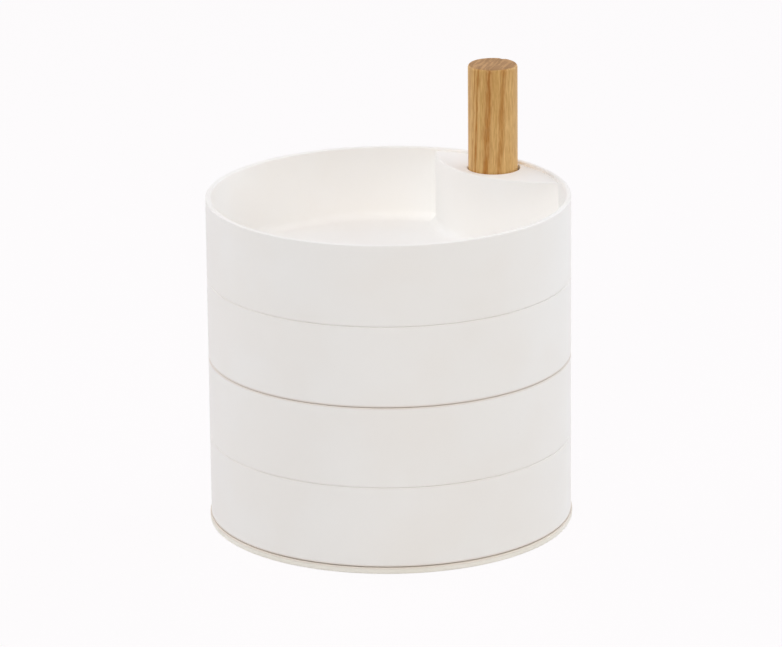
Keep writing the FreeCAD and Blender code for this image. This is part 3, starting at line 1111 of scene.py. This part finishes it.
@dataclass
class KnurledInsert:
    """The threaded brass insert in the dowel: a tube with a waist between two knurled bands."""

    name: str = "knurled_insert"
    steps: int = 48
    bore_radius: float = 2.53
    body_radius: float = 3.25
    waist_radius: float = 3.0
    waist_height: float = 1.2
    # Smooth brass left above and below each band
    end_land: float = 0.4
    tooth_size: float = 0.24
    teeth: int = 36

    def build(self, finish: Material) -> Object:
        """Build the insert in place of the plain one.

        Args:
            finish: The insert's material.

        Returns:
            The insert.
        """
        low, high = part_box("handle_insert")
        bottom, top = low.z / MM, high.z / MM
        radius = (high.x - low.x) / MM / 2
        centre = post_centre()
        waist_low = (bottom + top - self.waist_height) / 2
        waist_high = (bottom + top + self.waist_height) / 2
        rings = [
            Ring(self.bore_radius, top),
            Ring(self.bore_radius, bottom),
            Ring(self.body_radius, bottom),
            Ring(self.body_radius, waist_low),
            Ring(self.waist_radius, waist_low),
            Ring(self.waist_radius, waist_high),
            Ring(self.body_radius, waist_high),
            Ring(self.body_radius, top),
        ]
        skin = lathe(rings, self.steps, centre, Ends.JOINED)
        piece = link_mesh(self.name, finish_mesh(self.name, skin, finish))
        band = waist_low - bottom - 2 * self.end_land
        knurled_bands(finish).run(
            piece, x=centre.x * MM, y=centre.y * MM, crest=radius * MM, tooth=self.tooth_size * MM,
            band=band * MM, lower=(bottom + waist_low) / 2 * MM, upper=(waist_high + top) / 2 * MM,
            teeth=self.teeth)
        return take_place(piece, "handle_insert")


@dataclass
class Mechanism:
    """What hides inside the stack: tie bolt, tube, washers, bushes and the brass insert."""

    bolt: TieBolt = field(default_factory=TieBolt)
    insert: KnurledInsert = field(default_factory=KnurledInsert)
    # Zinc plate is bluish and bright, a little clouded
    zinc: MachinedMetal = MachinedMetal("zinc_plated_steel", "C3C6CC", "AEB1B4", roughness=0.28)
    # Drawing leaves fine lines along the tube
    tube: MachinedMetal = MachinedMetal("drawn_steel_tube", "B9BCBE", "A9ABAC", roughness=0.22,
                                        marks=Noise((0.12, 0.12, 1.44), detail=1.0))
    # Hardened strip is darker and greyer than plated steel
    spring: MachinedMetal = MachinedMetal("spring_steel_strip", "A3A4A6", "8E8F90", roughness=0.32)
    # Turned brass is bright yellow, duller where it has been held
    brass: MachinedMetal = MachinedMetal("turned_brass", "D9B56A", "C09C55", roughness=0.25)
    # Nylon and acetal come smooth from the mould and out of the dust: nylon milky, acetal whiter
    nylon: MouldedPlastic = MouldedPlastic(
        "natural_nylon", "EBE9E0", "E3E0D2", roughness=0.5,
        grain=Noise(even(0.5), detail=1.0), grain_depth=0.004, speck_spacing=20.0)
    acetal: MouldedPlastic = MouldedPlastic(
        "white_acetal", "EDEDE9", "E7E7E2", roughness=0.35,
        grain=Noise(even(0.5), detail=1.0), grain_depth=0.004, speck_spacing=20.0)

    def build(self) -> None:
        """Build the bolt and the insert, and dress the other pieces."""
        zinc = self.zinc.material()
        self.bolt.build(zinc)
        self.insert.build(self.brass.material())
        dress(zinc, "bolt_washer", "clamp_washer")
        dress(self.tube.material(), "pivot_tube")
        dress(self.spring.material(), "wave_washer")
        dress(self.nylon.material(), "glide_washer_1", "glide_washer_2", "glide_washer_3",
              "glide_washer_4", "glide_washer_top")
        dress(self.acetal.material(), "spacer_bush_1", "spacer_bush_2", "spacer_bush_3")


@dataclass(frozen=True)
class Softbox:
    """One large studio lamp, aimed at the middle of the organizer."""

    name: str
    place_m: tuple[float, float, float]
    width_m: float
    watts: float
    tint: str

    def build(self, target: Vector) -> Object:
        """Hang the lamp.

        Args:
            target: The point that it faces, in metres.

        Returns:
            The lamp.
        """
        lamp: Light = bpy.data.lights.new(self.name, "AREA")
        lamp.shape = "SQUARE"
        lamp.size = self.width_m
        lamp.energy = self.watts
        lamp.color = linear(self.tint)[:3]
        holder = bpy.data.objects.new(self.name, lamp)
        holder.location = self.place_m
        holder.rotation_mode = "QUATERNION"
        holder.rotation_quaternion = (target - holder.location).to_track_quat("-Z", "Y")
        holder.visible_camera = False
        bpy.context.scene.collection.objects.link(holder)
        return holder


@dataclass
class Studio:
    """Camera, floor, daylight and lamps."""

    # Where the camera stands, how it is turned in radians, and how far it looks in
    camera_place_m: tuple[float, float, float] = (0.0, -1.3745, 0.48618)
    look_down: float = 0.3034
    look_right: float = 0.0003
    camera_roll: float = -0.0098
    focal_pixels: float = 5162.15
    sensor: float = 36.0
    floor_half_m: float = 12.0
    backdrop_shade: str = "FFFDFE"
    floor_shade: str = "EDECEC"
    # Share of the floor's own light, which keeps the paper white while its shadow stays
    floor_glow: float = 0.94
    daylight_tint: str = "FFFFFF"
    daylight: float = 0.02
    softboxes: Sequence[Softbox] = (
        Softbox("overhead_softbox", (0.0, 0.0, 0.8), 1.5, 5.25, "FFFBFE"),
        Softbox("front_softbox", (-0.3, -1.6, 0.9), 1.0, 12.2, "FFFBF5"),
        Softbox("right_softbox", (1.3, -0.3, 0.5), 1.0, 3.75, "FFF9EC"),
        Softbox("right_rear_softbox", (1.2, 0.7, 0.6), 1.0, 8.2, "EFF5FF"),
        Softbox("left_rear_softbox", (-1.2, 0.7, 0.6), 1.0, 6.8, "FFF8F7"),
        Softbox("high_left_softbox", (-1.1, -0.2, 1.1), 1.0, 2.95, "E2F4FF"),
        Softbox("high_right_softbox", (1.1, -0.2, 1.1), 1.0, 0.85, "E2F4FF"),
    )

    def build(self) -> None:
        """Set up the whole studio."""
        self.build_camera()
        self.build_floor()
        self.build_daylight()
        low, high = CAD_BOX
        for softbox in self.softboxes:
            softbox.build((low + high) / 2)
        bpy.context.scene.view_settings.view_transform = "Standard"
        LOG.info("set up the camera, the paper floor, the daylight and %d lamps", len(self.softboxes))

    def build_camera(self) -> None:
        """Set the camera where the photograph was taken from."""
        forward = Vector((math.sin(self.look_right) * math.cos(self.look_down),
                          math.cos(self.look_right) * math.cos(self.look_down),
                          -math.sin(self.look_down)))
        level_right = forward.cross(Vector((0, 0, 1))).normalized()
        level_up = level_right.cross(forward)
        roll = Matrix.Rotation(-self.camera_roll, 4, forward)
        right, up = (roll @ level_right).normalized(), (roll @ level_up).normalized()
        camera = bpy.data.objects.new("camera", bpy.data.cameras.new("camera"))
        basis = Matrix((right, up, -forward)).transposed()
        camera.matrix_world = Matrix.Translation(self.camera_place_m) @ basis.to_4x4()
        camera.data.sensor_width = self.sensor
        camera.data.lens = self.focal_pixels / PHOTO_WIDTH * self.sensor
        bpy.context.scene.collection.objects.link(camera)
        bpy.context.scene.camera = camera

    def build_floor(self) -> None:
        """Lay a sheet of white paper that runs out of sight on all sides."""
        half = self.floor_half_m
        corners = ((-half, -half, 0), (half, -half, 0), (half, half, 0), (-half, half, 0))
        mesh = bpy.data.meshes.new("paper_floor")
        mesh.from_pydata(corners, [], [(0, 1, 2, 3)])
        mesh.materials.append(self.paper())
        link_mesh("paper_floor", mesh)

    def paper(self) -> Material:
        """Make the paper: matt, and to the camera a steady white that still takes the shadow.

        Returns:
            The material.
        """
        material = bpy.data.materials.new("white_paper")
        material.use_nodes = True
        tree = material.node_tree
        tree.nodes.clear()
        matt = add_node(tree, "ShaderNodeBsdfDiffuse", {"Color": linear(self.floor_shade)})
        glow = add_node(tree, "ShaderNodeEmission", {"Color": linear(self.backdrop_shade), "Strength": 1.0})
        share = add_node(tree, "ShaderNodeMath", (self.seen_ray(tree), self.floor_glow),
                         operation="MULTIPLY")
        paper = add_node(tree, "ShaderNodeMixShader", (share, matt, glow))
        # From below the sheet is clear, so that the underside can be looked at
        side = add_node(tree, "ShaderNodeNewGeometry")
        clear = add_node(tree, "ShaderNodeBsdfTransparent")
        both = add_node(tree, "ShaderNodeMixShader", (side.outputs["Backfacing"], paper, clear))
        add_node(tree, "ShaderNodeOutputMaterial", {"Surface": both})
        return material

    def seen_ray(self, tree: NodeTree) -> Node:
        """Tell the rays that look from those that light things.

        Args:
            tree: The tree of the floor or the world.

        Returns:
            The node with 1 for a ray from the camera, a mirror or glass, and 0 for another.
        """
        path = add_node(tree, "ShaderNodeLightPath").outputs
        mirrored = add_node(tree, "ShaderNodeMath", (path["Is Glossy Ray"], path["Is Transmission Ray"]),
                            operation="MAXIMUM")
        return add_node(tree, "ShaderNodeMath", (path["Is Camera Ray"], mirrored), operation="MAXIMUM")

    def build_daylight(self) -> None:
        """Fill the room with even light, and show it as white paper."""
        world = bpy.data.worlds.new("studio")
        world.use_nodes = True
        tree = world.node_tree
        tree.nodes.clear()
        light = add_node(tree, "ShaderNodeBackground",
                         {"Color": linear(self.daylight_tint), "Strength": self.daylight})
        paper = add_node(tree, "ShaderNodeBackground",
                         {"Color": linear(self.backdrop_shade), "Strength": 1.0})
        mix = add_node(tree, "ShaderNodeMixShader", (self.seen_ray(tree), light, paper))
        add_node(tree, "ShaderNodeOutputWorld", {"Surface": mix})
        bpy.context.scene.world = world


def main() -> None:
    """Build the organizer's looks and its studio in order."""
    logging.basicConfig(level=logging.INFO, format="%(name)s: %(message)s")
    TrayStack().build()
    TurnedHandle().build()
    Mechanism().build()
    Studio().build()


if __name__ == "__main__":
    main()
